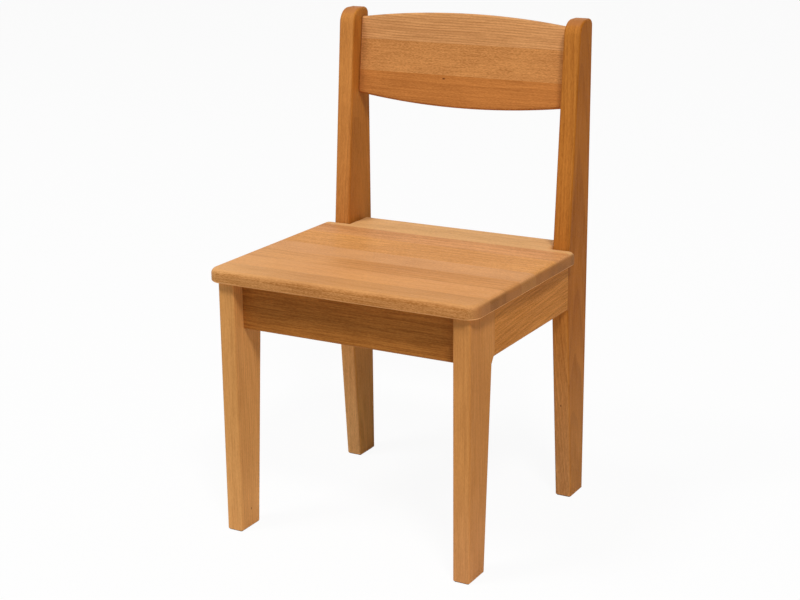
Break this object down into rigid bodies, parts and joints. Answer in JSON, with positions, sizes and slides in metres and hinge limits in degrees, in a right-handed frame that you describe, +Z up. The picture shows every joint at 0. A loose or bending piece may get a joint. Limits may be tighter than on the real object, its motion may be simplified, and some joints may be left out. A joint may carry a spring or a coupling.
{
  "type": "child chair",
  "caption": "Low wooden child's chair with tapered plank legs, a flat glued-up seat notched round the rear posts and a lens-shaped, slightly reclined backrest.",
  "frame": {"origin": "on the floor, under the middle of the chair's outline seen from above", "axes": "+Z up, -Y the way the chair faces, +X to the right of someone looking at its front"},
  "size_m": [0.33, 0.311, 0.565],
  "materials": {
    "oiled_beech": "planed, edges rounded, sanded and oiled, satin",
    "raw_beech": "sawn and planed, left raw",
    "beech_dowel": "turned and fluted, left raw",
    "zinc_plated_screw": "zinc plated"
  },
  "bodies": {
    "root": {"front_left_leg": "oiled_beech", "front_right_leg": "oiled_beech", "rear_left_post": "oiled_beech", "rear_right_post": "oiled_beech", "front_apron": "oiled_beech", "rear_apron": "oiled_beech", "left_side_apron": "oiled_beech", "right_side_apron": "oiled_beech", "seat_stave_1": "oiled_beech", "seat_stave_2": "oiled_beech", "seat_stave_3": "oiled_beech", "seat_stave_4": "oiled_beech", "seat_stave_5": "oiled_beech", "seat_stave_6": "oiled_beech", "seat_stave_7": "oiled_beech", "backrest_upper_stave": "oiled_beech", "backrest_middle_stave": "oiled_beech", "backrest_lower_stave": "oiled_beech", "front_left_corner_block": "raw_beech", "front_right_corner_block": "raw_beech", "rear_left_corner_block": "raw_beech", "rear_right_corner_block": "raw_beech", "backrest_dowels": "beech_dowel", "seat_screws": "zinc_plated_screw"}
  },
  "joints": []
}
